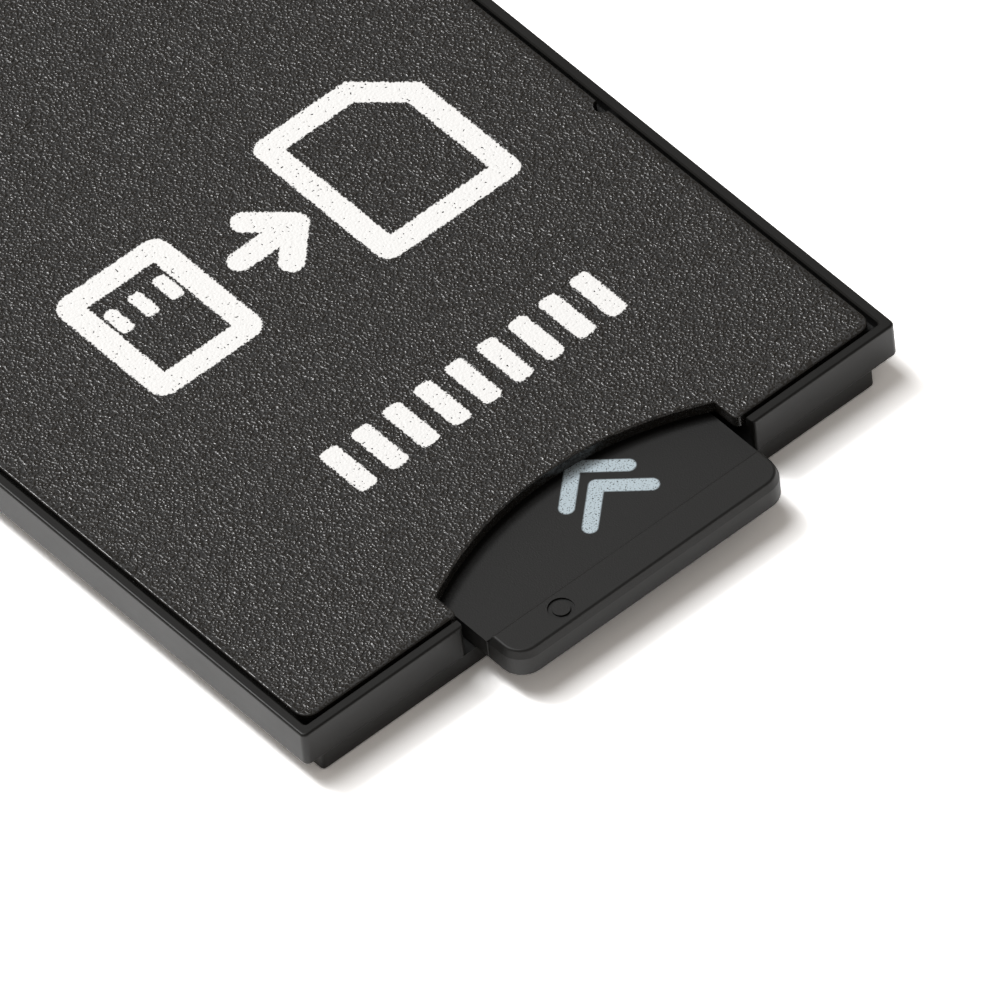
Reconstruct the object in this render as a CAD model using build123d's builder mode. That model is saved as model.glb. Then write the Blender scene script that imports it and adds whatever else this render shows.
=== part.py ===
from build123d import *
import os

# Memory card adapter: a flat moulded shell with a bay that holds a small memory card.
# Millimetres. +X to the right seen from the label side, +Y towards the contact end, +Z up.
# The origin is the centre of the adapter's footprint, on the surface that its back lies on.

# Adapter outline
adapter_width = 24.0
adapter_length = 32.0
adapter_thickness = 2.1
corner_cut = 4.0
slot_corner_radius = 0.2
contact_corner_radius = 1.0
cut_corner_radius = 0.5
top_edge_radius = 0.09
rail_edge_radius = 0.12

# Stepped back: the middle is thicker than the side rails and the leading edge
back_step = 0.7
left_rail_width = 0.6
right_rail_width = 1.0
leading_edge = 1.0
back_corner_radius = 0.15
back_edge_radius = 0.12
parting_step = 0.03

# Shell walls
floor_thickness = 0.8
rim_width = 0.36
rim_inner_radius = 0.1
rim_inner_chamfer = 0.05
cover_thickness = 0.43
cover_gap = 0.13
cover_corner_radius = 0.5
cover_edge_radius = 0.06

# Small card
card_width = 11.0
card_side_step = 1.3
card_length = 15.0
card_thickness = 0.7
card_corner_radius = 0.8
card_inner_radius = 0.3
card_lead_in = 0.2
card_shoulder = 5.2
card_notch_depth = 0.65
card_notch_start = 7.1
card_notch_length = 1.5
card_protrusion = 2.1
card_offset = 0.3

# Finger lip on the small card
lip_height = 0.3
lip_length = 1.45
lip_draft = 20
lip_edge_radius = 0.1
ejector_mark_side = 2.35
ejector_mark_back = 0.72
ejector_mark_radius = 0.43
ejector_mark_groove = 0.14
ejector_mark_depth = 0.06

# Card bay and its clearances
card_float = 0.05
mouth_clearance = 0.375
bay_clearance = 0.1
bay_end_clearance = 0.3
mouth_depth = 3.0
mouth_taper = 1.2
mouth_edge_radius = 0.15

# Arched cut-out in the cover over the mouth of the bay
arch_width = 11.3
arch_offset = 0.25
arch_side = 1.5
arch_peak = 2.95
arch_corner_radius = 0.2

# Gate mark on the cover's right edge
gate_mark_distance = 13.2
gate_mark_radius = 0.3

# Contact pads of the small card
pad_count = 8
card_pad_width = 0.8
card_pad_length = 3.0
card_pad_inset = 0.6
card_pad_thickness = 0.04
card_pad_recess = 0.05
card_pad_margin = 0.6

# Stamped leads and their spring fingers
lead_thickness = 0.15
lead_width = 0.5
lead_bend_radius = 0.6
fan_start = 2.4
fan_end = 3.0
finger_root = 1.0
finger_tip_clearance = 0.03
finger_contact = 2.1
finger_land = 0.3
finger_drop = 0.175
finger_slope = 1.2
finger_rise = 0.5
finger_slot_clearance = 0.12
finger_slot_floor = 0.35
finger_slot_end = 0.4

# Contact pads on the adapter's back, counted from the cut corner
wide_pad_count = 7
host_pad_first = 2.6
host_pad_last = 2.275
host_pad_narrow_step = 2.425
host_pad_last_step = 1.7
host_window_wide = 1.5
host_window_narrow = 1.1
host_window_length = 4.4
host_window_radius = 0.2
host_pad_anchor = 0.15
host_pad_setback = 0.1

# Raised bridge that joins the two ground pads
bridge_width = 0.4
bridge_rise = 0.3
bridge_run = 0.3
bridge_foot = 0.5

# Lock slider and its notch in the left edge
lock_notch_distance = 6.5
lock_notch_length = 6.5
lock_notch_depth = 1.02
lock_length = 4.0
lock_wall_clearance = 0.07
lock_end_clearance = 0.1
lock_slide_clearance = 0.05
lock_lip_width = 0.28
lock_lip_drop = 0.32
lock_channel_width = 0.4
lock_channel_depth = 0.67
lock_arm_thickness = 0.22
lock_hook_width = 0.3
lock_groove_depth = 0.12
lock_groove_width = 0.3
lock_groove_pitch = 0.7
lock_groove_count = 3

# Notch in the right edge
edge_notch_distance = 9.8
edge_notch_length = 1.6
edge_notch_depth = 0.8

# Latch spring beside the bay
latch_thickness = 0.15
latch_height = 0.7
latch_wall = 0.3
latch_room = 0.75
latch_back_clearance = 0.1
latch_clearance = 0.03
latch_land = 0.3
latch_bump_length = 2.0
latch_arm_length = 3.6
latch_tail_length = 0.4
latch_anchor_length = 1.2
latch_bend_radius = 0.2
latch_window_margin = 0.2

# Hollows that thin the base, and the cover's locating pegs
hollow_wall = 0.8
hollow_rib = 0.8
hollow_radius = 0.4
hollow_skin = 0.35
peg_radius = 0.5
peg_length = 0.5
peg_clearance = 0.03
peg_inset = 3.0
peg_slot_row = 2.0
peg_middle_row = 13.8
peg_contact_row = 3.8

# Places that follow from the sizes above
half_width = adapter_width / 2
slot_end = -adapter_length / 2
contact_end = adapter_length / 2
cover_bottom = adapter_thickness - cover_thickness
card_left = card_offset - card_width / 2
card_right = card_offset + card_width / 2
card_narrow_right = card_right - card_side_step
card_front = slot_end - card_protrusion
card_inner = card_front + card_length
card_bottom = floor_thickness + card_float
card_top = card_bottom + card_thickness
card_notch_middle = card_inner - card_notch_start - card_notch_length / 2
bay_end = card_inner + bay_end_clearance
bay_right = card_right + bay_clearance
lead_middle = back_step + lead_thickness / 2
finger_root_y = bay_end + finger_root
finger_contact_y = card_inner - finger_contact
first_finger_x = card_narrow_right - card_pad_margin - card_pad_width / 2
last_finger_x = card_left + card_pad_margin + card_pad_width / 2
card_pad_pitch = (first_finger_x - last_finger_x) / (pad_count - 1)
finger_x = [first_finger_x - index * card_pad_pitch for index in range(pad_count)]
host_end = contact_end - leading_edge
cut_line = half_width + contact_end - corner_cut
host_cut_line = cut_line - leading_edge * 2**0.5
host_pad_steps = host_pad_narrow_step + host_pad_last_step
host_pad_span = adapter_width - host_pad_first - host_pad_steps - host_pad_last
host_pad_pitch = host_pad_span / (wide_pad_count - 1)
host_pad_places = [half_width - host_pad_first - index * host_pad_pitch for index in range(wide_pad_count)]
host_pad_places.append(host_pad_places[-1] - host_pad_narrow_step)
host_pad_places.append(host_pad_places[-1] - host_pad_last_step)
lock_middle = contact_end - lock_notch_distance - lock_notch_length / 2
edge_notch_middle = contact_end - edge_notch_distance
lock_wall_x = -half_width + lock_notch_depth
lock_channel_x = lock_wall_x + lock_lip_width
latch_pocket_x = bay_right + latch_wall
latch_arm_x = latch_pocket_x + latch_room - latch_back_clearance - latch_thickness / 2
latch_arm_end = card_notch_middle + latch_bump_length / 2 + latch_arm_length
latch_tail_end = card_notch_middle - latch_bump_length / 2 - latch_tail_length
peg_front = slot_end + peg_slot_row
peg_middle = contact_end - peg_middle_row
peg_rear = contact_end - peg_contact_row
peg_lines = (peg_front, peg_middle, peg_rear)
peg_places = [(side * (half_width - peg_inset), line) for line in peg_lines for side in (-1, 1)]

# The back pads in their order from the cut corner, each with its place and its window's width
wide_pads = ("data2", "detect", "command", "front_ground", "power", "clock", "rear_ground")
narrow_pads = ("data0", "data1")
host_x = dict(zip(wide_pads + narrow_pads, host_pad_places))
host_widths = dict.fromkeys(wide_pads, host_window_wide) | dict.fromkeys(narrow_pads, host_window_narrow)

# The leads in the order of the card's pads, each with the back pads that it reaches
lead_routes = {
    "lead_data2": ["data2"],
    "lead_detect": ["detect"],
    "lead_command": ["command"],
    "lead_power": ["power"],
    "lead_clock": ["clock"],
    "lead_ground": ["rear_ground", "front_ground"],
    "lead_data0": ["data0"],
    "lead_data1": ["data1"],
}


def footprint(inset, slot_radius, contact_radius, cut_radius):
    """Outline of the adapter, moved in by inset, with its own corner radii."""
    cut_shift = inset * (2**0.5 - 1)
    with BuildSketch() as outline:
        with BuildLine():
            Polyline(
                (-half_width + inset, slot_end + inset),
                (half_width - inset, slot_end + inset),
                (half_width - inset, contact_end - corner_cut - cut_shift),
                (half_width - corner_cut - cut_shift, contact_end - inset),
                (-half_width + inset, contact_end - inset),
                close=True,
            )
        make_face()
        corners = outline.vertices().sort_by(Axis.Y)
        front_corners = corners[3:].sort_by(Axis.X)
        fillet(corners[:2], slot_radius)
        fillet([corners[2], front_corners[1]], cut_radius)
        fillet(front_corners[0], contact_radius)
    return outline.sketch


def back_outline():
    """Outline of the thick middle of the back, between the rails and behind the leading edge."""
    with BuildSketch() as outline:
        with BuildLine():
            Polyline(
                (-half_width + left_rail_width, slot_end + parting_step),
                (half_width - right_rail_width, slot_end + parting_step),
                (half_width - right_rail_width, host_cut_line - half_width + right_rail_width),
                (host_cut_line - host_end, host_end),
                (-half_width + left_rail_width, host_end),
                close=True,
            )
        make_face()
        fillet(outline.vertices(), back_corner_radius)
    return outline.sketch


def card_outline():
    """Outline of the small card: wide at the lip, narrow past the shoulder, notched at the side."""
    shoulder = card_inner - card_shoulder
    notch_top = card_inner - card_notch_start
    notch_bottom = notch_top - card_notch_length
    notch_x = card_right - card_notch_depth
    with BuildSketch() as outline:
        with BuildLine():
            Polyline(
                (card_left, card_front),
                (card_right, card_front),
                (card_right, notch_bottom),
                (notch_x, notch_bottom),
                (notch_x, notch_top),
                (card_right, notch_top),
                (card_right, shoulder - (card_right - card_narrow_right)),
                (card_narrow_right, shoulder),
                (card_narrow_right, card_inner),
                (card_left, card_inner),
                close=True,
            )
        make_face()
        rows = outline.vertices().group_by(Axis.Y)
        fillet(rows[0], card_corner_radius)
        fillet(rows[-1], card_inner_radius)
    return outline.sketch


def bay_outline():
    """Plan of the card bay: a flared mouth, straight guides and an inner end keyed to the card."""
    mouth_left = card_left - mouth_clearance
    mouth_right = card_right + mouth_clearance
    mouth_end = slot_end + mouth_depth
    bay_left = card_left - bay_clearance
    key_right = card_narrow_right + bay_clearance
    shoulder = card_inner - card_shoulder + bay_end_clearance
    with BuildSketch() as outline:
        with BuildLine():
            Polyline(
                (mouth_left, slot_end),
                (mouth_left, mouth_end),
                (bay_left, mouth_end + mouth_taper),
                (bay_left, bay_end),
                (key_right, bay_end),
                (key_right, shoulder),
                (bay_right, shoulder - (bay_right - key_right)),
                (bay_right, mouth_end + mouth_taper),
                (mouth_right, mouth_end),
                (mouth_right, slot_end),
                close=True,
            )
        make_face()
        with Locations((card_offset, slot_end)):
            Rectangle(
                card_width + 2 * mouth_clearance + 4 * mouth_edge_radius,
                rim_width,
                align=(Align.CENTER, Align.MAX),
            )
        mouth_edges = outline.vertices().sort_by_distance((card_offset, slot_end))
        fillet(mouth_edges.filter_by_position(Axis.Y, slot_end, slot_end)[:2], mouth_edge_radius)
    return outline.sketch


def pad_front(pad):
    """Front end of a back window: the leading edge, or the cut corner where that comes first."""
    return min(host_end, host_cut_line - host_x[pad] - host_widths[pad] / 2)


def finger_profile():
    """Side view of a spring finger, pressed down by the card, from its root to its spoon tip."""
    slope_start = bay_end + finger_slot_end
    low_z = lead_middle - finger_drop
    tip_z = card_bottom - finger_tip_clearance - lead_thickness / 2
    land_start = finger_contact_y + finger_land / 2
    land_end = finger_contact_y - finger_land / 2
    with BuildSketch(Plane.YZ) as profile:
        with BuildLine():
            FilletPolyline(
                (finger_root_y, lead_middle),
                (slope_start, lead_middle),
                (slope_start - finger_slope, low_z),
                (land_start + finger_rise, low_z),
                (land_start, tip_z),
                (land_end, tip_z),
                (land_end - finger_rise, low_z),
                radius=lead_bend_radius,
            )
        trace(line_width=lead_thickness)
    return profile.sketch


def bridge_foot_profile(front):
    """Side view of the strip that climbs from the front of a ground pad to the bridge."""
    with BuildSketch(Plane.YZ) as profile:
        with BuildLine():
            Polyline(
                (front - bridge_foot, lead_middle),
                (front, lead_middle),
                (front + bridge_run, lead_middle + bridge_rise),
                (front + bridge_run + bridge_width, lead_middle + bridge_rise),
            )
        trace(line_width=lead_thickness)
    return profile.sketch


def make_lead(finger, pads):
    """One stamped lead: a spring finger, a fanned strip and a back pad, or two with a bridge."""
    main_pad = pads[0]
    with BuildPart() as lead:
        with BuildSketch(Plane.XY.offset(back_step)):
            with BuildLine():
                FilletPolyline(
                    (finger, finger_root_y),
                    (finger, bay_end + fan_start),
                    (host_x[main_pad], pad_front(main_pad) - host_window_length - fan_end),
                    (host_x[main_pad], pad_front(main_pad) - host_window_length),
                    radius=lead_bend_radius,
                )
            trace(line_width=lead_width)
            for pad in pads:
                with Locations((host_x[pad], pad_front(pad) - host_pad_setback)):
                    Rectangle(
                        host_widths[pad],
                        host_window_length + host_pad_anchor - host_pad_setback,
                        align=(Align.CENTER, Align.MAX),
                    )
        extrude(amount=lead_thickness)
        extrude(
            finger_profile().moved(Location((finger, 0, 0))),
            amount=lead_width / 2,
            both=True,
        )
        if len(pads) > 1:
            front = pad_front(main_pad) - host_pad_setback
            for pad in pads:
                extrude(
                    bridge_foot_profile(front).moved(Location((host_x[pad], 0, 0))),
                    amount=lead_width / 2,
                    both=True,
                )
            with BuildSketch(Plane.XY.offset(back_step + bridge_rise)):
                with Locations(((host_x[pads[0]] + host_x[pads[1]]) / 2, front + bridge_run)):
                    Rectangle(
                        abs(host_x[pads[1]] - host_x[pads[0]]) + lead_width,
                        bridge_width,
                        align=(Align.CENTER, Align.MIN),
                    )
            extrude(amount=lead_thickness)
    return lead.part


os.makedirs("parts", exist_ok=True)

# Stamped leads, gold-plated strip
leads = []
for index, (lead_name, host_pads) in enumerate(lead_routes.items()):
    lead_part = make_lead(finger_x[index], host_pads)
    lead_part.label = lead_name
    leads.append(lead_part)
    export_step(lead_part, f"parts/{lead_name}.step")

# Latch spring, a leaf on edge with a bump that faces the notch in the card
with BuildPart() as latch_spring:
    with BuildSketch(Plane.XY.offset(floor_thickness)):
        with BuildLine():
            FilletPolyline(
                (latch_arm_x, latch_arm_end + latch_anchor_length),
                (latch_arm_x, card_notch_middle + latch_bump_length / 2),
                (card_right + latch_clearance + latch_thickness / 2, card_notch_middle + latch_land / 2),
                (card_right + latch_clearance + latch_thickness / 2, card_notch_middle - latch_land / 2),
                (latch_arm_x, card_notch_middle - latch_bump_length / 2),
                (latch_arm_x, latch_tail_end),
                radius=latch_bend_radius,
            )
        trace(line_width=latch_thickness)
    extrude(amount=latch_height)
latch_spring.part.label = "latch_spring"
export_step(latch_spring.part, "parts/latch_spring.step")

# Outer body of the base, from the rails up to the rim
with BuildPart() as base_blank:
    with BuildSketch(Plane.XY.offset(back_step)):
        add(footprint(0, slot_corner_radius, contact_corner_radius, cut_corner_radius))
    extrude(amount=adapter_thickness - back_step)
    fillet(base_blank.faces().sort_by(Axis.Z)[-1].edges(), top_edge_radius)
    fillet(base_blank.faces().sort_by(Axis.Z)[0].edges(), rail_edge_radius)

# Base shell: back, rails, rim, card bay and everything that is moulded into them
with BuildPart() as base_shell:
    with BuildSketch():
        add(back_outline())
    extrude(amount=floor_thickness + rail_edge_radius)
    fillet(base_shell.faces().sort_by(Axis.Z)[0].edges(), back_edge_radius)
    add(base_blank.part)

    # Seat for the cover, with the rim left standing round it
    with BuildSketch(Plane.XY.offset(cover_bottom)):
        add(
            footprint(
                rim_width,
                rim_inner_radius,
                contact_corner_radius - rim_width,
                cut_corner_radius,
            )
        )
    extrude(amount=cover_thickness, mode=Mode.SUBTRACT)
    chamfer(base_shell.faces().sort_by(Axis.Z)[-1].inner_wires()[0].edges(), rim_inner_chamfer)

    # Card bay, open at the slot end and through the rim
    with BuildSketch(Plane.XY.offset(floor_thickness)):
        add(bay_outline())
    extrude(amount=adapter_thickness - floor_thickness, mode=Mode.SUBTRACT)

    # Slots in the floor under the spring fingers
    finger_reach = finger_contact_y - finger_land / 2 - finger_rise - finger_slot_end
    finger_slot_length = bay_end + finger_slot_end - finger_reach
    with BuildSketch(Plane.XY.offset(finger_slot_floor)):
        for finger in finger_x:
            with Locations((finger, finger_reach)):
                Rectangle(
                    lead_width + 2 * finger_slot_clearance,
                    finger_slot_length,
                    align=(Align.CENTER, Align.MIN),
                )
    extrude(amount=back_step + lead_thickness - finger_slot_floor, mode=Mode.SUBTRACT)

    # Windows in the back over the contact pads, open towards the leading edge
    for pad, pad_x in host_x.items():
        window_rear = pad_front(pad) - host_window_length
        with BuildSketch() as window:
            with Locations((pad_x, window_rear)):
                Rectangle(
                    host_widths[pad],
                    contact_end - window_rear,
                    align=(Align.CENTER, Align.MIN),
                )
            fillet(window.vertices().group_by(Axis.Y)[0], host_window_radius)
        extrude(amount=back_step, mode=Mode.SUBTRACT)

    # Latch spring's pocket, its opening into the bay and the slit that grips it
    latch_pocket_start = latch_tail_end - latch_window_margin
    latch_window_end = card_notch_middle + latch_bump_length / 2 + latch_window_margin
    with BuildSketch(Plane.XY.offset(floor_thickness)):
        with Locations((latch_pocket_x, latch_pocket_start)):
            Rectangle(
                latch_room,
                latch_arm_end - latch_pocket_start,
                align=(Align.MIN, Align.MIN),
            )
        with Locations((card_right, latch_pocket_start)):
            Rectangle(
                latch_pocket_x - card_right,
                latch_window_end - latch_pocket_start,
                align=(Align.MIN, Align.MIN),
            )
        with Locations((latch_arm_x, latch_arm_end)):
            Rectangle(latch_thickness, latch_anchor_length, align=(Align.CENTER, Align.MIN))
    extrude(amount=cover_bottom - floor_thickness, mode=Mode.SUBTRACT)

    # Notch for the lock slider, its guide lip and the channel behind the lip
    with BuildSketch(Plane.XY.offset(back_step)):
        with Locations((-half_width, lock_middle)):
            Rectangle(2 * lock_notch_depth, lock_notch_length)
    extrude(amount=adapter_thickness - back_step, mode=Mode.SUBTRACT)
    with BuildSketch(Plane.XY.offset(cover_bottom)):
        with Locations((lock_wall_x, lock_middle)):
            Rectangle(
                lock_lip_width,
                lock_notch_length,
                align=(Align.MIN, Align.CENTER),
            )
    extrude(amount=-lock_lip_drop, mode=Mode.SUBTRACT)
    with BuildSketch(Plane.XY.offset(cover_bottom)):
        with Locations((lock_channel_x, lock_middle)):
            Rectangle(
                lock_channel_width,
                lock_notch_length,
                align=(Align.MIN, Align.CENTER),
            )
    extrude(amount=-lock_channel_depth, mode=Mode.SUBTRACT)

    # Notch in the right edge
    with BuildSketch(Plane.XY.offset(back_step)):
        with Locations((half_width, edge_notch_middle)):
            Rectangle(2 * edge_notch_depth, edge_notch_length)
    extrude(amount=adapter_thickness - back_step, mode=Mode.SUBTRACT)

    # Hollows beside the bay and over the leads, with ribs between them
    side_start = peg_front + peg_radius + hollow_wall
    side_end = peg_middle - peg_radius - hollow_wall
    side_length = (side_end - side_start - hollow_rib) / 2
    outer_x = half_width - rim_width - hollow_wall
    left_inner_x = card_left - mouth_clearance - hollow_wall
    right_inner_x = latch_pocket_x + latch_room + hollow_wall
    with BuildSketch(Plane.XY.offset(cover_bottom)):
        with GridLocations(0, side_length + hollow_rib, 1, 2):
            with Locations(((left_inner_x - outer_x) / 2, (side_start + side_end) / 2)):
                RectangleRounded(outer_x + left_inner_x, side_length, hollow_radius)
            with Locations(((right_inner_x + outer_x) / 2, (side_start + side_end) / 2)):
                RectangleRounded(outer_x - right_inner_x, side_length, hollow_radius)
    extrude(amount=floor_thickness - cover_bottom, mode=Mode.SUBTRACT)
    rear_start = finger_root_y + hollow_wall
    rear_end = host_end - host_window_length - hollow_wall
    rear_length = (rear_end - rear_start - hollow_rib) / 2
    rear_half = half_width - peg_inset - peg_radius - hollow_wall
    with BuildSketch(Plane.XY.offset(cover_bottom)):
        with Locations((0, (rear_start + rear_end) / 2)):
            with GridLocations(rear_half + hollow_rib / 2, rear_length + hollow_rib, 2, 2):
                RectangleRounded(rear_half - hollow_rib / 2, rear_length, hollow_radius)
    extrude(amount=back_step + lead_thickness + hollow_skin - cover_bottom, mode=Mode.SUBTRACT)

    # Sockets for the cover's pegs
    with BuildSketch(Plane.XY.offset(cover_bottom)):
        with Locations(*peg_places):
            Circle(peg_radius + peg_clearance)
    extrude(amount=-(peg_length + peg_clearance), mode=Mode.SUBTRACT)

    # The shell is moulded round the leads
    add(leads, mode=Mode.SUBTRACT)
base_shell.part.label = "base_shell"
export_step(base_shell.part, "parts/base_shell.step")

# Top cover: a plate inside the rim, with the arch over the card, and pegs underneath
cover_inset = rim_width + cover_gap
cover_front = slot_end + cover_inset
with BuildPart() as top_cover:
    with BuildSketch(Plane.XY.offset(cover_bottom)) as cover_plan:
        add(
            footprint(
                cover_inset,
                cover_corner_radius,
                contact_corner_radius - rim_width,
                cut_corner_radius,
            )
        )
        with BuildLine():
            Polyline(
                (arch_offset + arch_width / 2, slot_end + arch_side),
                (arch_offset + arch_width / 2, slot_end),
                (arch_offset - arch_width / 2, slot_end),
                (arch_offset - arch_width / 2, slot_end + arch_side),
            )
            ThreePointArc(
                (arch_offset - arch_width / 2, slot_end + arch_side),
                (arch_offset, slot_end + arch_peak),
                (arch_offset + arch_width / 2, slot_end + arch_side),
            )
        make_face(mode=Mode.SUBTRACT)
        front_points = cover_plan.vertices().group_by(Axis.Y)[0]
        fillet(front_points.sort_by_distance((arch_offset, cover_front))[:2], arch_corner_radius)
    extrude(amount=cover_thickness)
    fillet(top_cover.faces().sort_by(Axis.Z)[-1].edges(), cover_edge_radius)
    with BuildSketch(Plane.XY.offset(cover_bottom)):
        with Locations((half_width - cover_inset, slot_end + gate_mark_distance)):
            Circle(gate_mark_radius)
        with Locations((-half_width, lock_middle)):
            Rectangle(2 * lock_notch_depth, lock_notch_length)
        with Locations((half_width, edge_notch_middle)):
            Rectangle(2 * edge_notch_depth, edge_notch_length)
    extrude(amount=cover_thickness, mode=Mode.SUBTRACT)
    with BuildSketch(Plane.XY.offset(cover_bottom)):
        with Locations(*peg_places):
            Circle(peg_radius)
    extrude(amount=-peg_length)
top_cover.part.label = "top_cover"
export_step(top_cover.part, "parts/top_cover.step")

# Lock slider: a grooved block in the notch, hooked over the guide lip
lock_bottom = back_step + lock_wall_clearance
lock_top = adapter_thickness - lock_wall_clearance
lock_inner_x = lock_wall_x - lock_wall_clearance
lock_arm_bottom = cover_bottom - lock_lip_drop + lock_slide_clearance
lock_arm_top = lock_arm_bottom + lock_arm_thickness
lock_hook_x = lock_channel_x + lock_slide_clearance
lock_hook_bottom = cover_bottom - lock_channel_depth + lock_slide_clearance
lock_front = lock_middle + lock_notch_length / 2 - lock_end_clearance
with BuildPart() as lock_slider:
    with BuildSketch(Plane.XZ.offset(-lock_front)):
        with BuildLine():
            Polyline(
                (-half_width, lock_bottom),
                (lock_inner_x, lock_bottom),
                (lock_inner_x, lock_arm_bottom),
                (lock_hook_x, lock_arm_bottom),
                (lock_hook_x, lock_hook_bottom),
                (lock_hook_x + lock_hook_width, lock_hook_bottom),
                (lock_hook_x + lock_hook_width, lock_arm_top),
                (lock_inner_x, lock_arm_top),
                (lock_inner_x, lock_top),
                (-half_width, lock_top),
                close=True,
            )
        make_face()
    extrude(amount=lock_length)
    with BuildSketch(Plane.XY.offset(lock_bottom)):
        with Locations((-half_width, lock_front - lock_length / 2)):
            with GridLocations(0, lock_groove_pitch, 1, lock_groove_count):
                Rectangle(2 * lock_groove_depth, lock_groove_width)
    extrude(amount=lock_top - lock_bottom, mode=Mode.SUBTRACT)
lock_slider.part.label = "lock_slider"
export_step(lock_slider.part, "parts/lock_slider.step")

# Finger lip: a ridge with drafted sides that follows the rounded front corners of the card
with BuildPart() as card_lip:
    with BuildSketch(Plane.XY.offset(card_top)):
        add(card_outline())
        with Locations((card_offset, card_front)):
            Rectangle(
                card_width,
                lip_length,
                align=(Align.CENTER, Align.MIN),
                mode=Mode.INTERSECT,
            )
    extrude(amount=lip_height, taper=lip_draft)
    fillet(card_lip.faces().sort_by(Axis.Z)[-1].edges(), lip_edge_radius)
    mark_place = (card_left + ejector_mark_side, card_front + ejector_mark_back)
    with BuildSketch(Plane.XY.offset(card_top + lip_height)):
        with Locations(mark_place):
            Circle(ejector_mark_radius)
            Circle(ejector_mark_radius - ejector_mark_groove, mode=Mode.SUBTRACT)
    extrude(amount=-ejector_mark_depth, mode=Mode.SUBTRACT)

# Contact pads of the small card, each in its own recess in the underside
card_pads = []
for index, pad_x in enumerate(finger_x):
    with BuildPart() as card_pad:
        with BuildSketch(Plane.XY.offset(card_bottom + card_pad_recess)):
            with Locations((pad_x, card_inner - card_pad_inset)):
                Rectangle(card_pad_width, card_pad_length, align=(Align.CENTER, Align.MAX))
        extrude(amount=-card_pad_thickness)
    card_pad.part.label = f"card_pad_{index + 1}"
    card_pads.append(card_pad.part)
    export_step(card_pad.part, f"parts/card_pad_{index + 1}.step")

# Small card
with BuildPart() as card_body:
    with BuildSketch(Plane.XY.offset(card_bottom)):
        add(card_outline())
    extrude(amount=card_thickness)
    lead_in_edge = card_body.faces().sort_by(Axis.Z)[0].edges().filter_by(Axis.X).sort_by(Axis.Y)[-1]
    chamfer(lead_in_edge, card_lead_in)
    add(card_lip.part)
    with BuildSketch(Plane.XY.offset(card_bottom)):
        for pad_x in finger_x:
            with Locations((pad_x, card_inner - card_pad_inset)):
                Rectangle(card_pad_width, card_pad_length, align=(Align.CENTER, Align.MAX))
    extrude(amount=card_pad_recess, mode=Mode.SUBTRACT)
card_body.part.label = "card_body"
export_step(card_body.part, "parts/card_body.step")
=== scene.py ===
"""Looks of a memory card adapter that holds a small card.

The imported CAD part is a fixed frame. This script gives each of its pieces its real finish, prints the plain
marks on the cover and on the card, and sets up the studio and the camera.
"""

import logging
import math
from dataclasses import dataclass
from enum import Enum

import bmesh
import bpy
from bpy.types import Material, NodeSocket, NodeTree
from mathutils import Matrix, Vector

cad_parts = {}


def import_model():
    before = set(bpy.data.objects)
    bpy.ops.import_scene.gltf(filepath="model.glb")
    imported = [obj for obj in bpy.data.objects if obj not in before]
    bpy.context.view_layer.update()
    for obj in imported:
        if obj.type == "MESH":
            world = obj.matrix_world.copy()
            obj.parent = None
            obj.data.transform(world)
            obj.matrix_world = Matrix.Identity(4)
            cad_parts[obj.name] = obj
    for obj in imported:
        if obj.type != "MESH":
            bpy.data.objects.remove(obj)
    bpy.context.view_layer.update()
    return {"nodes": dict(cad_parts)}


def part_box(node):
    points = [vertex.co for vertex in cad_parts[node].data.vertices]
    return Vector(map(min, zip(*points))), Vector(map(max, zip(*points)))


MM = 0.001
MATH = "ShaderNodeMath"
VECTOR_MATH = "ShaderNodeVectorMath"
MAP_RANGE = "ShaderNodeMapRange"
NOISE = "ShaderNodeTexNoise"
BUMP = "ShaderNodeBump"
PRINCIPLED = "ShaderNodeBsdfPrincipled"
MATERIAL_OUTPUT = "ShaderNodeOutputMaterial"

Point = tuple[float, float]
Corner = tuple[float, float, float]

log = logging.getLogger("adapter_looks")


def linear(hex_colour: str) -> tuple[float, float, float, float]:
    """Turns an sRGB hex colour into the linear colour that a socket takes.

    Args:
        hex_colour: the colour as "#rrggbb".

    Returns:
        Linear red, green, blue and an alpha of 1.
    """
    channels = [int(hex_colour[start : start + 2], 16) / 255 for start in (1, 3, 5)]
    turned = [c / 12.92 if c <= 0.04045 else ((c + 0.055) / 1.055) ** 2.4 for c in channels]
    return (*turned, 1.0)


def direction(azimuth: float, elevation: float) -> Vector:
    """Gives the way from the part to something round it.

    Args:
        azimuth: degrees, 0 on the card's side and 90 on the right.
        elevation: degrees above the table.

    Returns:
        A unit vector in the row frame.
    """
    turn, rise = math.radians(azimuth), math.radians(elevation)
    return Vector((math.sin(turn) * math.cos(rise), -math.cos(turn) * math.cos(rise), math.sin(rise)))


def add_node(
    tree: NodeTree, kind: str, inputs: dict | None = None, output: int | str = 0, **settings: object
) -> NodeSocket | None:
    """Adds a node with its settings and links.

    Args:
        tree: the node tree that takes the node.
        kind: the node's Blender identifier.
        inputs: for each input socket, by place or name, a constant or the socket that feeds it.
        output: the output socket that the caller goes on with, by place or name.
        **settings: the node's own properties.

    Returns:
        The chosen output socket, or None for a node without outputs.
    """
    node = tree.nodes.new(kind)
    for name, value in settings.items():
        setattr(node, name, value)
    for socket, value in (inputs or {}).items():
        if isinstance(value, NodeSocket):
            tree.links.new(value, node.inputs[socket])
        else:
            node.inputs[socket].default_value = value
    return node.outputs[output] if node.outputs else None


def empty_material(name: str) -> Material:
    """Makes a material with no nodes.

    Args:
        name: the material's name.

    Returns:
        The material.
    """
    material = bpy.data.materials.new(name)
    material.use_nodes = True
    material.node_tree.nodes.clear()
    return material


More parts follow.
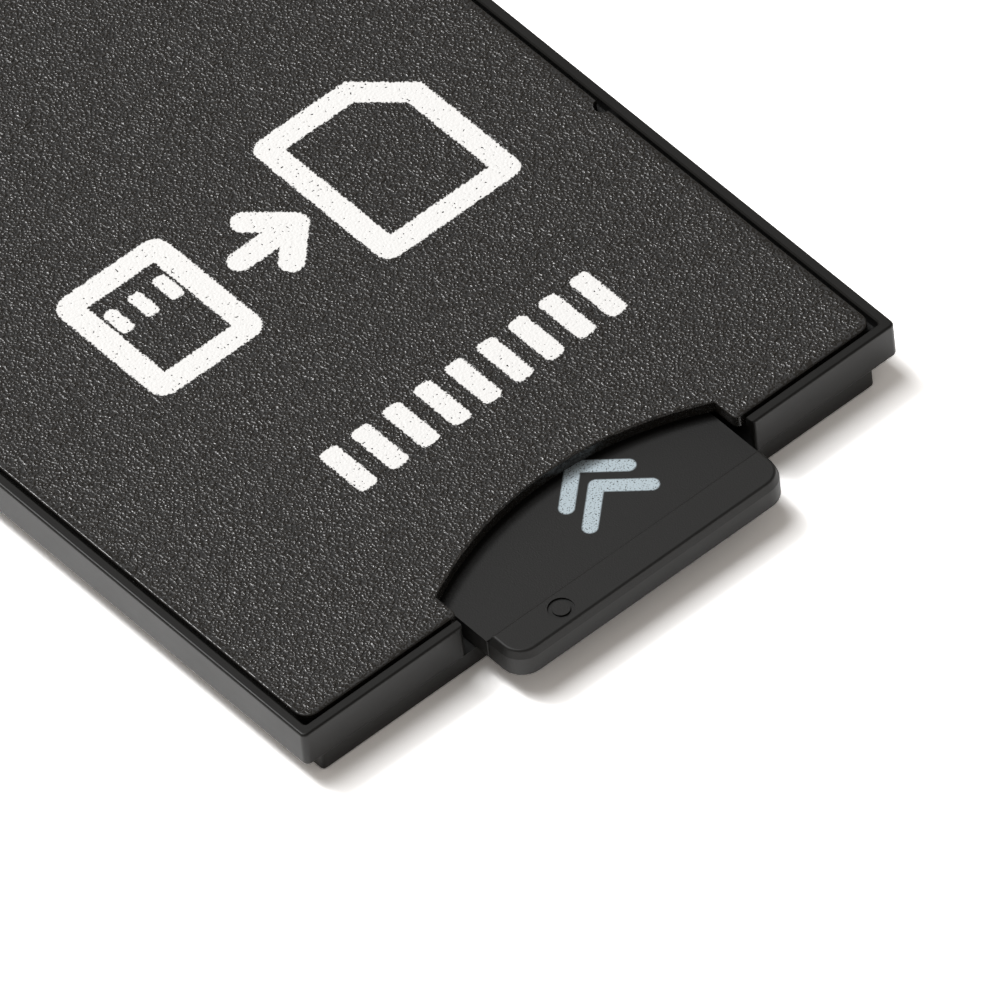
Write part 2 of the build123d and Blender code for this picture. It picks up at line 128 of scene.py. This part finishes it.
def dress(node: bpy.types.Object, material: Material) -> None:
    """Puts one material on a whole CAD node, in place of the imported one.

    Args:
        node: the CAD node's object.
        material: its finish.
    """
    node.data.materials.clear()
    node.data.materials.append(material)
    log.info("%s: %s", node.name, material.name)


def size_in_mm(name: str) -> tuple[Corner, Corner]:
    """Gives a CAD node's lowest and highest corners in millimetres."""
    low, high = (tuple(corner / MM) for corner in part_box(name))
    return low, high


@dataclass(frozen=True)
class BarRow:
    """Equal bars side by side along X, in millimetres.

    Attributes:
        first: the middle of the first bar.
        count: how many bars.
        pitch: the step from bar to bar.
        size: each bar's width and height.
        radius: each bar's corner radius.
    """

    first: Point
    count: int
    pitch: float
    size: Point
    radius: float


class Artwork:
    """Plain printed shapes, as distances to their edges in millimetres, negative inside, seen from above."""

    def __init__(self, tree: NodeTree) -> None:
        """Reads the place on the part in millimetres.

        Args:
            tree: the material's node tree.
        """
        self.tree = tree
        coordinates = add_node(tree, "ShaderNodeTexCoord", output="Object")
        self.place = add_node(tree, VECTOR_MATH, {0: coordinates, "Scale": 1 / MM}, operation="SCALE")
        self.flat = add_node(tree, VECTOR_MATH, {0: self.place, 1: (1, 1, 0)}, operation="MULTIPLY")
        self.height = add_node(tree, "ShaderNodeSeparateXYZ", {0: self.place}, output="Z")

    def box(self, centre: Point, size: Point, radius: float, place: NodeSocket | None = None) -> NodeSocket:
        """Draws a rectangle with round corners.

        Args:
            centre: its middle.
            size: its width and height.
            radius: its corner radius.
            place: another socket with the place on the part, for a shape that repeats.

        Returns:
            The socket with the distance to its edge.
        """
        reach = (size[0] / 2 - radius, size[1] / 2 - radius, 0)
        start = {0: place or self.flat, 1: (*centre, 0)}
        offset = add_node(self.tree, VECTOR_MATH, start, operation="SUBTRACT")
        folded = add_node(self.tree, VECTOR_MATH, {0: offset}, operation="ABSOLUTE")
        past = add_node(self.tree, VECTOR_MATH, {0: folded, 1: reach}, operation="SUBTRACT")
        outer = add_node(self.tree, VECTOR_MATH, {0: past, 1: (0, 0, 0)}, operation="MAXIMUM")
        outside = add_node(self.tree, VECTOR_MATH, {0: outer}, "Value", operation="LENGTH")
        past_x = add_node(self.tree, "ShaderNodeSeparateXYZ", {0: past}, "X")
        past_y = add_node(self.tree, "ShaderNodeSeparateXYZ", {0: past}, "Y")
        nearest = add_node(self.tree, MATH, {0: past_x, 1: past_y}, operation="MAXIMUM")
        inside = add_node(self.tree, MATH, {0: nearest, 1: 0.0}, operation="MINIMUM")
        both = add_node(self.tree, MATH, {0: outside, 1: inside}, operation="ADD")
        return add_node(self.tree, MATH, {0: both, 1: radius}, operation="SUBTRACT")

    def stroke(self, start: Point, end: Point, width: float) -> NodeSocket:
        """Draws a straight stroke with round ends.

        Args:
            start: the middle of one end.
            end: the middle of the other end.
            width: the stroke's width.

        Returns:
            The socket with the distance to its edge.
        """
        run = Vector((end[0] - start[0], end[1] - start[1], 0))
        offset = add_node(self.tree, VECTOR_MATH, {0: self.flat, 1: (*start, 0)}, operation="SUBTRACT")
        share_of_run = {0: offset, 1: run / run.length_squared}
        along = add_node(self.tree, VECTOR_MATH, share_of_run, "Value", operation="DOT_PRODUCT")
        share = add_node(self.tree, MATH, {0: along, 1: 0.0}, operation="ADD", use_clamp=True)
        foot = add_node(self.tree, VECTOR_MATH, {0: run, "Scale": share}, operation="SCALE")
        away = add_node(self.tree, VECTOR_MATH, {0: offset, 1: foot}, "Value", operation="DISTANCE")
        return add_node(self.tree, MATH, {0: away, 1: width / 2}, operation="SUBTRACT")

    def arrow(self, tail: Point, tip: Point, head: float, width: float) -> NodeSocket:
        """Draws an arrow with round ends.

        Args:
            tail: the end of its shaft.
            tip: its point.
            head: how far each barb reaches back and aside.
            width: the width of all strokes.

        Returns:
            The socket with the distance to its edge.
        """
        back = Vector((tail[0] - tip[0], tail[1] - tip[1])).normalized() * head
        aside = Vector((-back.y, back.x))
        barbs = [self.stroke(tip, tuple(Vector(tip) + back + side * aside), width) for side in (-1, 1)]
        return self.join(self.stroke(tail, tip, width), *barbs)

    def chevron(self, tip: Point, arm: Point, width: float) -> NodeSocket:
        """Draws two strokes that meet in a point.

        Args:
            tip: the point.
            arm: how far each stroke reaches aside and along Y from it.
            width: the width of both strokes.

        Returns:
            The socket with the distance to its edge.
        """
        ends = [(tip[0] + side * arm[0], tip[1] + arm[1]) for side in (-1, 1)]
        return self.join(*[self.stroke(tip, end, width) for end in ends])

    def cut_corner(self, distance: NodeSocket, corner: Point, cut: float) -> NodeSocket:
        """Cuts the upper right corner off a shape at 45 degrees.

        Args:
            distance: the shape's distance.
            corner: its square corner.
            cut: how much of each side goes.

        Returns:
            The socket with the distance to the new edge.
        """
        diagonal = Vector((1, 1, 0)).normalized()
        reach = diagonal.dot(Vector((*corner, 0))) - cut * diagonal.x
        flat_and_diagonal = {0: self.flat, 1: diagonal}
        across = add_node(self.tree, VECTOR_MATH, flat_and_diagonal, "Value", operation="DOT_PRODUCT")
        beyond = add_node(self.tree, MATH, {0: across, 1: reach}, operation="SUBTRACT")
        return add_node(self.tree, MATH, {0: distance, 1: beyond}, operation="MAXIMUM")

    def outline(self, distance: NodeSocket, width: float) -> NodeSocket:
        """Keeps a band along a shape's edge, inside it.

        Args:
            distance: the shape's distance.
            width: the band's width.

        Returns:
            The socket with the distance to the band's edge.
        """
        shifted = add_node(self.tree, MATH, {0: distance, 1: width / 2}, operation="ADD")
        folded = add_node(self.tree, MATH, {0: shifted}, operation="ABSOLUTE")
        return add_node(self.tree, MATH, {0: folded, 1: width / 2}, operation="SUBTRACT")

    def row(self, bars: BarRow) -> NodeSocket:
        """Draws equal bars side by side.

        Args:
            bars: their sizes and places.

        Returns:
            The socket with the distance to the nearest bar's edge.
        """
        offset = add_node(self.tree, VECTOR_MATH, {0: self.flat, 1: (*bars.first, 0)}, operation="SUBTRACT")
        across = add_node(self.tree, "ShaderNodeSeparateXYZ", {0: offset}, "X")
        steps = add_node(self.tree, MATH, {0: across, 1: bars.pitch}, operation="DIVIDE")
        whole = add_node(self.tree, MATH, {0: steps}, operation="ROUND")
        low = add_node(self.tree, MATH, {0: whole, 1: 0.0}, operation="MAXIMUM")
        number = add_node(self.tree, MATH, {0: low, 1: bars.count - 1.0}, operation="MINIMUM")
        step = (bars.pitch, 0, 0)
        shift = add_node(self.tree, VECTOR_MATH, {0: step, "Scale": number}, operation="SCALE")
        wrapped = add_node(self.tree, VECTOR_MATH, {0: offset, 1: shift}, operation="SUBTRACT")
        return self.box((0, 0), bars.size, bars.radius, wrapped)

    def join(self, *distances: NodeSocket) -> NodeSocket:
        """Unites shapes: each point keeps the distance to the nearest one.

        Args:
            *distances: the shapes' distances.

        Returns:
            The socket with the distance to the nearest edge.
        """
        nearest = distances[0]
        for distance in distances[1:]:
            nearest = add_node(self.tree, MATH, {0: nearest, 1: distance}, operation="MINIMUM")
        return nearest


@dataclass(frozen=True)
class Ink:
    """Pad-printed ink: a thin opaque matte film with a slightly uneven edge, which misses the deepest pits.

    Attributes:
        colour: its sRGB hex colour.
        roughness: how matte it dries.
        edge_wander: how far its edge strays, in millimetres.
        edge_blur: how wide its edge is, in millimetres.
        pit_level: the relief, from 0 to 1, below which no ink arrives.
    """

    colour: str
    roughness: float
    edge_wander: float
    edge_blur: float
    pit_level: float

    def surface(self, tree: NodeTree, relief: NodeSocket) -> NodeSocket:
        """Builds the ink's shader.

        Args:
            tree: the material's node tree.
            relief: the normal of the surface under the ink.

        Returns:
            The shader socket.
        """
        finish = {"Base Color": linear(self.colour), "Roughness": self.roughness, "Normal": relief}
        return add_node(tree, PRINCIPLED, finish)

    def cover(self, tree: NodeTree, mark: NodeSocket, relief: NodeSocket, on_top: NodeSocket) -> NodeSocket:
        """Tells where the ink lies.

        Args:
            tree: the material's node tree.
            mark: the distance to the edge of the print.
            relief: the surface's own noise, from 0 to 1, which also makes the edge uneven.
            on_top: 1 on the printed face and 0 elsewhere.

        Returns:
            The socket with 1 under the ink and 0 off it.
        """
        stray = {0: relief, 1: 2 * self.edge_wander, 2: -self.edge_wander}
        push = add_node(tree, MATH, stray, operation="MULTIPLY_ADD")
        moved = add_node(tree, MATH, {0: mark, 1: push}, operation="ADD")
        edge = {"Value": moved, "From Min": self.edge_blur / 2, "From Max": -self.edge_blur / 2}
        inside = add_node(tree, MAP_RANGE, edge, clamp=True)
        pits = add_node(tree, MATH, {0: relief, 1: self.pit_level}, operation="GREATER_THAN")
        printed = add_node(tree, MATH, {0: inside, 1: on_top}, operation="MULTIPLY")
        return add_node(tree, MATH, {0: printed, 1: pits}, operation="MULTIPLY")


class CoverMark(Enum):
    """The plain marks printed on the cover."""

    INSERTION = "insertion"
    CONTACT_ROW = "contact_row"


@dataclass(frozen=True)
class CoverPrint:
    """The cover's print: a card that goes into its holder, and a row of bars that stand for contacts."""

    line: float = 0.85
    contact_bars: BarRow = BarRow(first=(-3.9, -8.65), count=9, pitch=1.27, size=(0.72, 2.1), radius=0.2)
    card_middle: Point = (-4.0, 0.2)
    card_size: Point = (4.4, 5.4)
    card_corner: float = 0.6
    card_fingers: BarRow = BarRow(first=(-5.0, 0.95), count=3, pitch=1.0, size=(0.5, 1.1), radius=0.15)
    arrow_tail: Point = (-0.7, 0.2)
    arrow_tip: Point = (1.55, 0.2)
    arrow_head: float = 1.15
    holder_middle: Point = (5.3, 0.25)
    holder_size: Point = (5.7, 6.7)
    holder_corner: float = 0.5
    holder_cut: float = 1.7

    def draw(self, art: Artwork, mark: CoverMark) -> NodeSocket:
        """Draws one printed mark.

        Args:
            art: the material's drawing board.
            mark: which mark.

        Returns:
            The socket with the distance to its edge.
        """
        if mark is CoverMark.CONTACT_ROW:
            return art.row(self.contact_bars)
        card = art.outline(art.box(self.card_middle, self.card_size, self.card_corner), self.line)
        fingers = art.row(self.card_fingers)
        square = art.box(self.holder_middle, self.holder_size, self.holder_corner)
        corner = tuple(middle + side / 2 for middle, side in zip(self.holder_middle, self.holder_size))
        holder = art.outline(art.cut_corner(square, corner, self.holder_cut), self.line)
        arrow = art.arrow(self.arrow_tail, self.arrow_tip, self.arrow_head, self.line)
        return art.join(card, fingers, holder, arrow)


@dataclass(frozen=True)
class CardPrint:
    """The small card's print: two chevrons that point into the bay."""

    middle: float = 1.35
    tips: Point = (-14.15, -13.05)
    arm: Point = (1.25, -1.15)
    line: float = 0.5

    def draw(self, art: Artwork) -> NodeSocket:
        """Draws the chevrons and gives the distance to their edge."""
        return art.join(*[art.chevron((self.middle, tip), self.arm, self.line) for tip in self.tips])


@dataclass(frozen=True)
class SatinPlastic:
    """Injection-moulded plastic from a fine-stoned tool.

    The stoning scatters light a little, so flat faces shine softly, and the melt's flow leaves faint clouds.
    """

    name: str
    colour: str = "#131312"
    roughness: float = 0.4
    reflection: float = 0.26
    cloud_width: float = 2.2
    cloud_depth: float = 0.06
    cloud_detail: float = 3.0
    # Real stoning marks are about 0.01 mm wide. They are drawn coarser, or they wouldn't show.
    stone_mark: float = 0.05
    stone_depth: float = 0.0012
    stone_detail: float = 2.0

    def material(self) -> Material:
        """Builds the material.

        Returns:
            The material.
        """
        material = empty_material(self.name)
        tree = material.node_tree
        art = Artwork(tree)
        cloud_size = {"Vector": art.place, "Scale": 1 / self.cloud_width, "Detail": self.cloud_detail}
        clouds = add_node(tree, NOISE, cloud_size)
        shine = {
            "Value": clouds,
            "To Min": self.roughness - self.cloud_depth,
            "To Max": self.roughness + self.cloud_depth,
        }
        roughness = add_node(tree, MAP_RANGE, shine)
        stone_size = {"Vector": art.place, "Scale": 1 / self.stone_mark, "Detail": self.stone_detail}
        stoning = add_node(tree, NOISE, stone_size)
        depth = self.stone_depth * MM
        relief = add_node(tree, BUMP, {"Height": stoning, "Distance": depth, "Strength": 1.0})
        finish = {
            "Base Color": linear(self.colour),
            "Roughness": roughness,
            "IOR": 1.52,
            "Specular IOR Level": self.reflection,
            "Normal": relief,
        }
        surface = add_node(tree, PRINCIPLED, finish)
        add_node(tree, MATERIAL_OUTPUT, {"Surface": surface})
        return material


@dataclass(frozen=True)
class GrainedPlastic:
    """Injection-moulded ABS from a spark-eroded tool.

    The erosion leaves rounded pebbles about 0.1 mm apart. Each carries a small highlight on its glossy
    crown, and the valleys between them are dull. The colour is darkened towards the valleys as painted
    shade, for the shade that falls between the pebbles. The grain stops short of the cover's edges, where
    the tool was left smooth.
    """

    name: str
    ink: Ink
    low: Corner
    high: Corner
    printing: CoverPrint = CoverPrint()
    corner: float = 0.3
    top_skin: float = 0.01
    colour: str = "#1d1b18"
    # The valley colour, and the pebble heights over which it gives way to the plain colour, are painted shade
    # for the shade between the pebbles.
    valley_painted_shade_colour: str = "#090807"
    painted_shade_from: float = 0.36
    painted_shade_to: float = 0.58
    roughness: float = 0.22
    valley_roughness: float = 0.7
    gloss_from: float = 0.38
    gloss_to: float = 0.52
    pebble: float = 0.085
    pebble_depth: float = 0.056
    pebble_detail: float = 0.6
    ink_depth_share: float = 0.35
    smooth_edge: float = 0.08
    fade: float = 0.25

    def grain_share(self, art: Artwork, on_top: NodeSocket) -> NodeSocket:
        """Tells where the grain lies.

        Args:
            art: the material's drawing board.
            on_top: 1 on the cover's top face and 0 on its sides.

        Returns:
            The socket with 1 in the grain, 0 on the smooth edge, and a fade between them.
        """
        middle = tuple((low + high) / 2 for low, high in zip(self.low[:2], self.high[:2]))
        size = tuple(high - low for low, high in zip(self.low[:2], self.high[:2]))
        edge = art.box(middle, size, self.corner)
        border = {"Value": edge, "From Min": -self.smooth_edge, "From Max": -self.smooth_edge - self.fade}
        inward = add_node(art.tree, MAP_RANGE, border)
        return add_node(art.tree, MATH, {0: inward, 1: on_top}, operation="MULTIPLY")

    def plastic(self, tree: NodeTree, pebbles: NodeSocket, relief: NodeSocket) -> NodeSocket:
        """Builds the bare plastic's shader.

        Args:
            tree: the material's node tree.
            pebbles: the grain's height, from 0 to 1.
            relief: the normal that the grain gives.

        Returns:
            The shader socket.
        """
        # Low places take the darker valley colour: painted shade for the shade that falls between the
        # pebbles.
        crowns = {"Value": pebbles, "From Min": self.painted_shade_from, "From Max": self.painted_shade_to}
        shade = add_node(tree, MAP_RANGE, crowns)
        shine = {
            "Value": pebbles,
            "From Min": self.gloss_from,
            "From Max": self.gloss_to,
            "To Min": self.valley_roughness,
            "To Max": self.roughness,
        }
        gloss = add_node(tree, MAP_RANGE, shine)
        blend = {"Factor": shade, "A": linear(self.valley_painted_shade_colour), "B": linear(self.colour)}
        colour = add_node(tree, "ShaderNodeMix", blend, "Result", data_type="RGBA")
        finish = {"Base Color": colour, "Roughness": gloss, "IOR": 1.52, "Normal": relief}
        return add_node(tree, PRINCIPLED, finish)

    def material(self) -> Material:
        """Builds the material.

        Returns:
            The material.
        """
        material = empty_material(self.name)
        tree = material.node_tree
        art = Artwork(tree)
        grain = {"Vector": art.place, "Scale": 1 / self.pebble, "Detail": self.pebble_detail}
        pebbles = add_node(tree, NOISE, grain)
        top = self.high[2] - self.top_skin
        on_top = add_node(tree, MATH, {0: art.height, 1: top}, operation="GREATER_THAN")
        grained = self.grain_share(art, on_top)
        depth = self.pebble_depth * MM
        ink_depth = depth * self.ink_depth_share
        relief = add_node(tree, BUMP, {"Height": pebbles, "Distance": depth, "Strength": grained})
        ink_relief = add_node(tree, BUMP, {"Height": pebbles, "Distance": ink_depth, "Strength": grained})
        plastic = self.plastic(tree, pebbles, relief)
        marks = art.join(*[self.printing.draw(art, mark) for mark in CoverMark])
        cover = self.ink.cover(tree, marks, pebbles, on_top)
        ink = self.ink.surface(tree, ink_relief)
        surface = add_node(tree, "ShaderNodeMixShader", {0: cover, 1: plastic, 2: ink})
        add_node(tree, MATERIAL_OUTPUT, {"Surface": surface})
        return material


@dataclass(frozen=True)
class MouldingCompound:
    """Epoxy moulding compound with a mineral filler, pressed in a fine matte tool.

    The filler makes it dull and even, with a fine speckle. The tool's parting leaves a thin line behind
    the lip.
    """

    name: str
    ink: Ink
    low: Corner
    high: Corner
    printing: CardPrint = CardPrint()
    print_reach: float = 0.35
    colour: str = "#0f0f0e"
    roughness: float = 0.52
    reflection: float = 0.3
    # Real filler grains are about 0.02 mm wide. They are drawn coarser, or they wouldn't show.
    speck: float = 0.05
    speck_depth: float = 0.006
    speck_detail: float = 3.0
    lip_length: float = 1.45
    lip_line: float = 0.07
    lip_line_depth: float = 0.07
    lip_line_corner: float = 0.03

    def lip_groove(self, art: Artwork) -> NodeSocket:
        """Presses the thin line behind the lip.

        Args:
            art: the material's drawing board.

        Returns:
            The normal that the line gives.
        """
        middle = ((self.low[0] + self.high[0]) / 2, self.low[1] + self.lip_length)
        size = (self.high[0] - self.low[0], self.lip_line)
        line = art.box(middle, size, self.lip_line_corner)
        walls = {"Value": line, "From Min": -self.lip_line / 2, "From Max": self.lip_line / 2}
        groove = add_node(art.tree, MAP_RANGE, walls)
        depth = self.lip_line_depth * MM
        return add_node(art.tree, BUMP, {"Height": groove, "Distance": depth, "Strength": 1.0})

    def material(self) -> Material:
        """Builds the material.

        Returns:
            The material.
        """
        material = empty_material(self.name)
        tree = material.node_tree
        art = Artwork(tree)
        speckle = {"Vector": art.place, "Scale": 1 / self.speck, "Detail": self.speck_detail}
        specks = add_node(tree, NOISE, speckle)
        pressed = {
            "Height": specks,
            "Distance": self.speck_depth * MM,
            "Strength": 1.0,
            "Normal": self.lip_groove(art),
        }
        relief = add_node(tree, BUMP, pressed)
        finish = {
            "Base Color": linear(self.colour),
            "Roughness": self.roughness,
            "IOR": 1.55,
            "Specular IOR Level": self.reflection,
            "Normal": relief,
        }
        compound = add_node(tree, PRINCIPLED, finish)
        top = self.high[2] - self.print_reach
        on_top = add_node(tree, MATH, {0: art.height, 1: top}, operation="GREATER_THAN")
        cover = self.ink.cover(tree, self.printing.draw(art), specks, on_top)
        ink = self.ink.surface(tree, relief)
        surface = add_node(tree, "ShaderNodeMixShader", {0: cover, 1: compound, 2: ink})
        add_node(tree, MATERIAL_OUTPUT, {"Surface": surface})
        return material


@dataclass(frozen=True)
class RolledMetal:
    """Thin strip metal, cold rolled and stamped, bare or plated.

    The rolls leave fine lines along its length, which stretch a highlight across them. Use wipes it in
    patches.
    """

    name: str
    colour: str
    wiped_colour: str
    roughness: float
    smoother: float = 0.08
    rougher: float = 0.12
    # Real rolling lines are about 0.01 mm wide. They are drawn coarser, or they wouldn't show.
    line_width: float = 0.04
    line_length: float = 1.5
    line_depth: float = 0.0006
    line_detail: float = 3.0
    wipe_width: float = 0.9
    wipe_detail: float = 4.0

    def material(self) -> Material:
        """Builds the material.

        Returns:
            The material.
        """
        material = empty_material(self.name)
        tree = material.node_tree
        art = Artwork(tree)
        stretch = (1 / self.line_width, 1 / self.line_length, 1 / self.line_width)
        drawn = add_node(tree, "ShaderNodeMapping", {"Vector": art.place, "Scale": stretch})
        lines = add_node(tree, NOISE, {"Vector": drawn, "Scale": 1.0, "Detail": self.line_detail})
        wiping = {"Vector": art.place, "Scale": 1 / self.wipe_width, "Detail": self.wipe_detail}
        wipes = add_node(tree, NOISE, wiping)
        blend = {"Factor": wipes, "A": linear(self.colour), "B": linear(self.wiped_colour)}
        colour = add_node(tree, "ShaderNodeMix", blend, "Result", data_type="RGBA")
        shine = {
            "Value": lines,
            "To Min": self.roughness - self.smoother,
            "To Max": self.roughness + self.rougher,
        }
        roughness = add_node(tree, MAP_RANGE, shine)
        depth = self.line_depth * MM
        relief = add_node(tree, BUMP, {"Height": lines, "Distance": depth, "Strength": 1.0})
        finish = {"Base Color": colour, "Metallic": 1.0, "Roughness": roughness, "Normal": relief}
        surface = add_node(tree, PRINCIPLED, finish)
        add_node(tree, MATERIAL_OUTPUT, {"Surface": surface})
        return material


@dataclass
class Housing:
    """The adapter's moulded base and its grained cover."""

    cover_ink: Ink = Ink("#fafaf9", roughness=0.5, edge_wander=0.08, edge_blur=0.03, pit_level=0.27)

    def dress(self, nodes: dict[str, bpy.types.Object]) -> None:
        """Gives the base and the cover their finishes.

        Args:
            nodes: the CAD nodes by name.
        """
        low, high = size_in_mm("top_cover")
        grain = GrainedPlastic("grained_abs_cover", self.cover_ink, low, high)
        dress(nodes["top_cover"], grain.material())
        dress(nodes["base_shell"], SatinPlastic("satin_abs_base").material())


@dataclass
class LockSlider:
    """The small slider in the left edge, moulded in acetal, a shade paler than the base."""

    colour: str = "#2a2a29"
    roughness: float = 0.42

    def dress(self, nodes: dict[str, bpy.types.Object]) -> None:
        """Gives the slider its finish.

        Args:
            nodes: the CAD nodes by name.
        """
        finish = SatinPlastic("satin_acetal_slider", self.colour, self.roughness)
        dress(nodes["lock_slider"], finish.material())


@dataclass
class Contacts:
    """The stamped leads, with their spring fingers, and the leaf spring beside the card."""

    lead_prefix: str = "lead_"
    gold: RolledMetal = RolledMetal("gold_flashed_bronze", "#d9b45c", "#b98f45", roughness=0.3)
    steel: RolledMetal = RolledMetal("rolled_spring_steel", "#c9c9c6", "#a7a6a2", roughness=0.28)

    def dress(self, nodes: dict[str, bpy.types.Object]) -> None:
        """Gives the leads a gold flash and the leaf spring bare steel.

        Args:
            nodes: the CAD nodes by name.
        """
        gold = self.gold.material()
        for name, node in nodes.items():
            if name.startswith(self.lead_prefix):
                dress(node, gold)
        dress(nodes["latch_spring"], self.steel.material())


@dataclass
class SmallCard:
    """The small card with its printed mark and its contact pads."""

    pad_prefix: str = "card_pad_"
    ink: Ink = Ink("#bccbd3", roughness=0.6, edge_wander=0.03, edge_blur=0.05, pit_level=0.4)
    pads: RolledMetal = RolledMetal("gold_plated_pad", "#e0bb66", "#c79d4f", roughness=0.24)

    def dress(self, nodes: dict[str, bpy.types.Object]) -> None:
        """Gives the card body and its pads their finishes.

        Args:
            nodes: the CAD nodes by name.
        """
        low, high = size_in_mm("card_body")
        body = MouldingCompound("filled_epoxy_card", self.ink, low, high)
        dress(nodes["card_body"], body.material())
        gold = self.pads.material()
        for name, node in nodes.items():
            if name.startswith(self.pad_prefix):
                dress(node, gold)


@dataclass(frozen=True)
class Softbox:
    """A square white lamp aimed at the part, in metres and degrees."""

    name: str
    azimuth: float
    elevation: float
    distance: float
    side: float
    radiance: float

    def place(self) -> None:
        """Adds the lamp to the scene, with the power that gives its face the wanted brightness."""
        data = bpy.data.lights.new(self.name, "AREA")
        data.shape = "SQUARE"
        data.size = self.side
        data.energy = self.radiance * self.side**2 * math.pi
        lamp = bpy.data.objects.new(self.name, data)
        bpy.context.scene.collection.objects.link(lamp)
        outward = direction(self.azimuth, self.elevation)
        lamp.location = outward * self.distance
        lamp.rotation_euler = outward.to_track_quat("Z", "Y").to_euler()


@dataclass
class Studio:
    """The white table, the soft light and the camera.

    The camera's sizes come from the photograph: its angles in degrees, its focal length in pixels of the
    frame, and its place in millimetres along its own right, up and back from the middle of the adapter.
    """

    floor_width: float = 1.6
    floor_gap: float = 0.01
    floor_colour: str = "#f4f4f4"
    seen_floor_level: float = 2.1
    tent_colour: str = "#fff7ef"
    horizon_level: float = 0.62
    zenith_level: float = 0.05
    lamps: tuple[Softbox, ...] = (
        Softbox("softbox_behind", azimuth=195, elevation=66, distance=0.7, side=0.42, radiance=4.4),
        Softbox("spot_behind", azimuth=194, elevation=54, distance=0.7, side=0.17, radiance=24.0),
    )
    frame_pixels: int = 1001
    focal_pixels: float = 29513.0
    sensor_mm: float = 36.0
    camera_azimuth: float = -35.944
    camera_elevation: float = 48.225
    camera_roll: float = -6.53
    camera_right: float = 7.194
    camera_up: float = -6.261
    camera_back: float = 911.25
    nearest_seen: float = 0.01
    farthest_seen: float = 10.0

    def seen(self, tree: NodeTree) -> NodeSocket:
        """Tells the rays that meet the eye, straight or by a mirror or glass, from those that carry light.

        Args:
            tree: the node tree to add to.

        Returns:
            The socket with 1 for those rays.
        """
        kinds = ("Is Camera Ray", "Is Glossy Ray", "Is Transmission Ray")
        rays = [add_node(tree, "ShaderNodeLightPath", output=kind) for kind in kinds]
        straight_or_glossy = add_node(tree, MATH, {0: rays[0], 1: rays[1]}, operation="MAXIMUM")
        return add_node(tree, MATH, {0: straight_or_glossy, 1: rays[2]}, operation="MAXIMUM")

    def build_floor(self) -> None:
        """Adds the white table top, which the eye sees overexposed, so that only deep shadow stays on it."""
        mesh = bpy.data.meshes.new("table_top")
        shape = bmesh.new()
        sunk = Matrix.Translation((0, 0, -self.floor_gap * MM))
        half = self.floor_width / 2
        bmesh.ops.create_grid(shape, x_segments=1, y_segments=1, size=half, matrix=sunk)
        shape.to_mesh(mesh)
        shape.free()
        floor = bpy.data.objects.new("table_top", mesh)
        bpy.context.scene.collection.objects.link(floor)
        material = empty_material("white_laminate_table")
        tree = material.node_tree
        matte = add_node(tree, "ShaderNodeBsdfDiffuse", {"Color": linear(self.floor_colour)})
        level = self.seen_floor_level
        bright = add_node(tree, "ShaderNodeBsdfDiffuse", {"Color": (level, level, level, 1)})
        surface = add_node(tree, "ShaderNodeMixShader", {0: self.seen(tree), 1: matte, 2: bright})
        add_node(tree, MATERIAL_OUTPUT, {"Surface": surface})
        mesh.materials.append(material)
        log.info("table top")

    def light(self) -> None:
        """Adds the white surroundings, darker overhead than at the horizon, and the lamps."""
        world = bpy.data.worlds.new("white_tent")
        bpy.context.scene.world = world
        world.use_nodes = True
        tree = world.node_tree
        tree.nodes.clear()
        toward = add_node(tree, "ShaderNodeTexCoord", output="Generated")
        rise = add_node(tree, "ShaderNodeSeparateXYZ", {0: toward}, "Z")
        levels = {"Value": rise, "To Min": self.horizon_level, "To Max": self.zenith_level}
        tent = add_node(tree, MAP_RANGE, levels)
        camera_ray = add_node(tree, "ShaderNodeLightPath", output="Is Camera Ray")
        shown = {"Factor": camera_ray, "A": tent, "B": 1.0}
        level = add_node(tree, "ShaderNodeMix", shown, output="Result")
        paint = {"Color": linear(self.tent_colour), "Strength": level}
        background = add_node(tree, "ShaderNodeBackground", paint)
        add_node(tree, "ShaderNodeOutputWorld", {"Surface": background})
        for lamp in self.lamps:
            lamp.place()
            log.info("lamp: %s", lamp.name)

    def set_camera(self) -> None:
        """Places the camera where the photograph was taken from."""
        back = direction(self.camera_azimuth, self.camera_elevation)
        level_right = Vector((0, 0, 1)).cross(back).normalized()
        level_up = back.cross(level_right)
        roll = math.radians(self.camera_roll)
        right = level_right * math.cos(roll) + level_up * math.sin(roll)
        up = level_up * math.cos(roll) - level_right * math.sin(roll)
        place = right * self.camera_right + up * self.camera_up + back * self.camera_back
        data = bpy.data.cameras.new("photo_camera")
        data.sensor_width = self.sensor_mm
        data.lens = self.sensor_mm * self.focal_pixels / self.frame_pixels
        data.clip_start = self.nearest_seen
        data.clip_end = self.farthest_seen
        camera = bpy.data.objects.new("photo_camera", data)
        bpy.context.scene.collection.objects.link(camera)
        turned = Matrix((right, up, back)).transposed().to_4x4()
        turned.translation = place * MM
        camera.matrix_world = turned
        bpy.context.scene.camera = camera

    def build(self) -> None:
        """Sets up everything round the part."""
        bpy.context.scene.view_settings.view_transform = "Standard"
        self.build_floor()
        self.light()
        self.set_camera()


def main() -> None:
    """Dresses the part and builds the studio."""
    logging.basicConfig(level=logging.INFO, format="%(name)s: %(message)s")
    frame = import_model()
    nodes = frame["nodes"]
    for assembly in (Housing(), LockSlider(), Contacts(), SmallCard()):
        assembly.dress(nodes)
    Studio().build()


if __name__ == "__main__":
    main()
